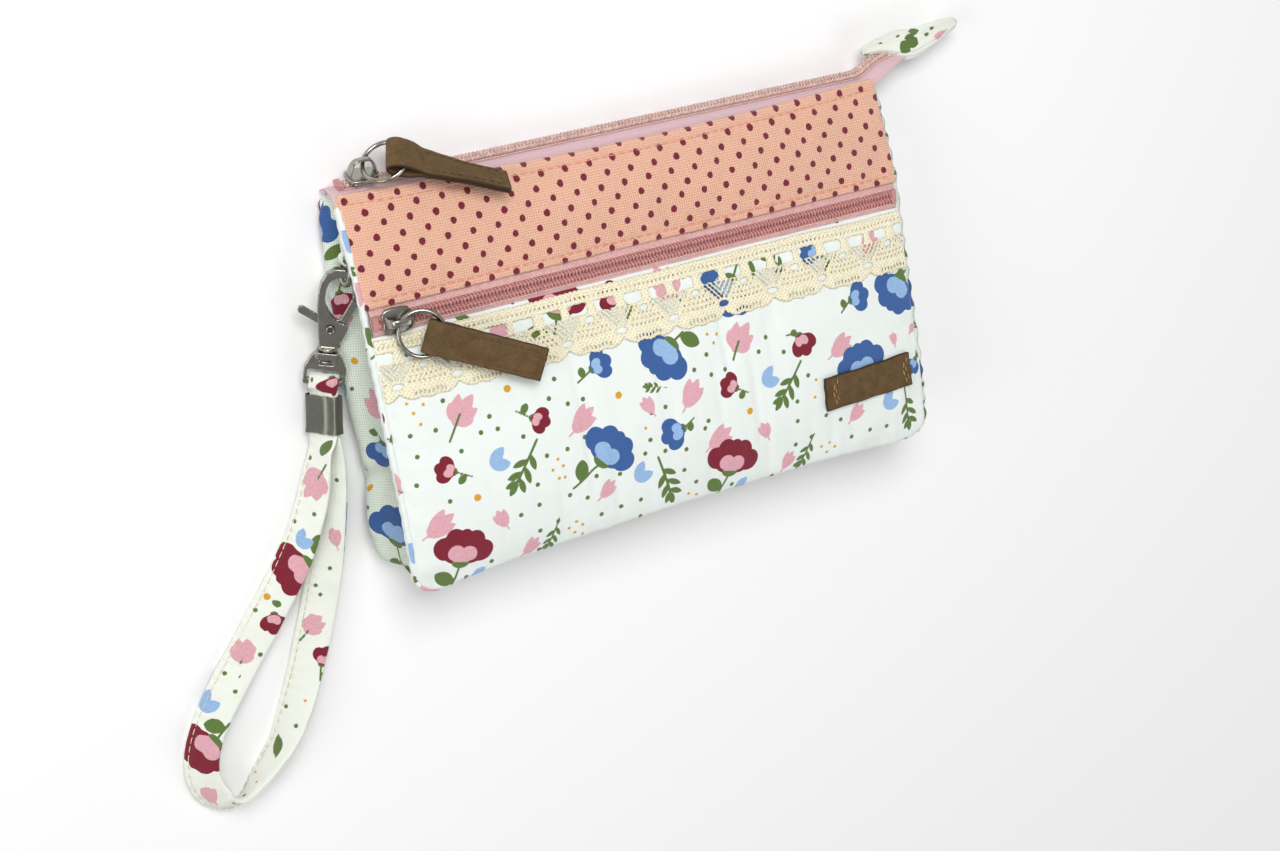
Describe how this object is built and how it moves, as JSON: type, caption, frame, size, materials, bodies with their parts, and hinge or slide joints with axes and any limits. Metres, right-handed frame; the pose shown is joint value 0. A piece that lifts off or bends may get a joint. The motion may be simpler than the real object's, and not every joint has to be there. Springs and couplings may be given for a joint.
{
  "type": "wristlet wallet",
  "caption": "Padded cotton wristlet pouch with a top zip, a front zip pocket with lace trim, leather zip pulls and a looped wrist strap on a swivel clasp.",
  "frame": {"origin": "centre of the back face, which is the face the wallet lies on", "axes": "+X along the zips from the clasp side to the far side, +Y from the bottom edge towards the top zip, +Z out of the front face"},
  "size_m": [0.3296, 0.2215, 0.0396],
  "materials": {
    "print_fabric": "printed floral cotton, plain weave",
    "dotted_fabric": "peach cotton with dark red dots",
    "lace": "cream cotton lace",
    "zip_tape": "pink woven zip tape",
    "zip_coil": "pink nylon coil",
    "leather": "brown leather with raw dark edges",
    "metal": "nickel-grey plated zinc and steel",
    "lining": "plain off-white cotton"
  },
  "bodies": {
    "pouch": {"front_lower_panel": "print_fabric", "front_upper_band": "dotted_fabric", "lace_trim": "lace", "leather_label": "leather", "back_panel": "print_fabric", "left_gusset": "print_fabric", "right_gusset": "print_fabric", "bottom_gusset": "print_fabric", "main_lining": "lining", "front_pocket_lining": "lining", "front_tape_lower": "zip_tape", "front_tape_upper": "zip_tape", "front_coil_lower": "zip_coil", "front_coil_upper": "zip_coil", "front_zip_stop_left": "metal", "front_zip_stop_right": "metal", "top_tape_front": "zip_tape", "top_tape_back": "zip_tape", "top_coil_front": "zip_coil", "top_coil_back": "zip_coil", "top_zip_stop": "metal", "top_zip_end_tab": "print_fabric", "side_ring_tab": "print_fabric"},
    "top_slider": {"top_slider_body": "metal"},
    "top_ring": {"top_pull_ring": "metal"},
    "top_pull": {"top_leather_pull": "leather"},
    "front_slider": {"front_slider_body": "metal"},
    "front_ring": {"front_pull_ring": "metal"},
    "front_pull": {"front_leather_pull": "leather"},
    "side_ring": {"side_ring": "metal"},
    "clasp_hook": {"clasp_hook": "metal", "clasp_rivet": "metal", "clasp_spring": "metal"},
    "clasp_lever": {"clasp_lever": "metal"},
    "clasp_base": {"clasp_swivel_base": "metal"},
    "wrist_strap": {"wrist_strap": "print_fabric", "strap_clamp": "metal", "strap_neck": "print_fabric"}
  },
  "joints": [
    {"name": "top_slider_travel", "type": "slide", "parent": "pouch", "child": "top_slider", "axis": [1, 0, 0], "range_m": [0, 0.184]},
    {"name": "top_ring_swing", "type": "hinge", "parent": "top_slider", "child": "top_ring", "pos_m": [-0.0915, 0.07238, 0.01101], "axis": [-0.3655, -0.6481, 0.6681], "range_deg": [0, 55]},
    {"name": "top_pull_swing", "type": "hinge", "parent": "top_ring", "child": "top_pull", "pos_m": [-0.07889, 0.07388, 0.01937], "axis": [-0.3655, -0.6481, 0.6681], "range_deg": [0, 40]},
    {"name": "front_slider_travel", "type": "slide", "parent": "pouch", "child": "front_slider", "axis": [1, 0, 0], "range_m": [0, 0.186]},
    {"name": "front_ring_swing", "type": "hinge", "parent": "front_slider", "child": "front_ring", "pos_m": [-0.0926, 0.0238, 0.02925], "axis": [-0.438, -0.899, 0], "range_deg": [0, 75]},
    {"name": "front_pull_swing", "type": "hinge", "parent": "front_ring", "child": "front_pull", "pos_m": [-0.08064, 0.01575, 0.03361], "axis": [-0.438, -0.899, 0], "range_deg": [0, 20]},
    {"name": "side_ring_swing", "type": "hinge", "parent": "pouch", "child": "side_ring", "pos_m": [-0.1029, 0.0444, 0.0142], "axis": [0, 0, -1], "range_deg": [0, 50]},
    {"name": "clasp_hook_swing", "type": "hinge", "parent": "side_ring", "child": "clasp_hook", "pos_m": [-0.10479, 0.03621, 0.0142], "axis": [0, 0, -1], "range_deg": [0, 16]},
    {"name": "clasp_lever_press", "type": "hinge", "parent": "clasp_hook", "child": "clasp_lever", "pos_m": [-0.1109, 0.02195, 0.0103], "axis": [-0.3135, -0.1022, 0.9441], "range_deg": [0, 25], "stiffness_Nm_per_rad": 0.02, "springref_deg": -20.05},
    {"name": "clasp_swivel", "type": "hinge", "parent": "clasp_hook", "child": "clasp_base", "pos_m": [-0.1109, 0.02195, 0.0103], "axis": [0.2263, 0.9575, 0.1788], "range_deg": [-90, 90]},
    {"name": "strap_swing", "type": "hinge", "parent": "clasp_base", "child": "wrist_strap", "pos_m": [-0.11525, 0.00352, 0.00686], "axis": [-0.9223, 0.2696, -0.277], "range_deg": [0, 75]}
  ]
}
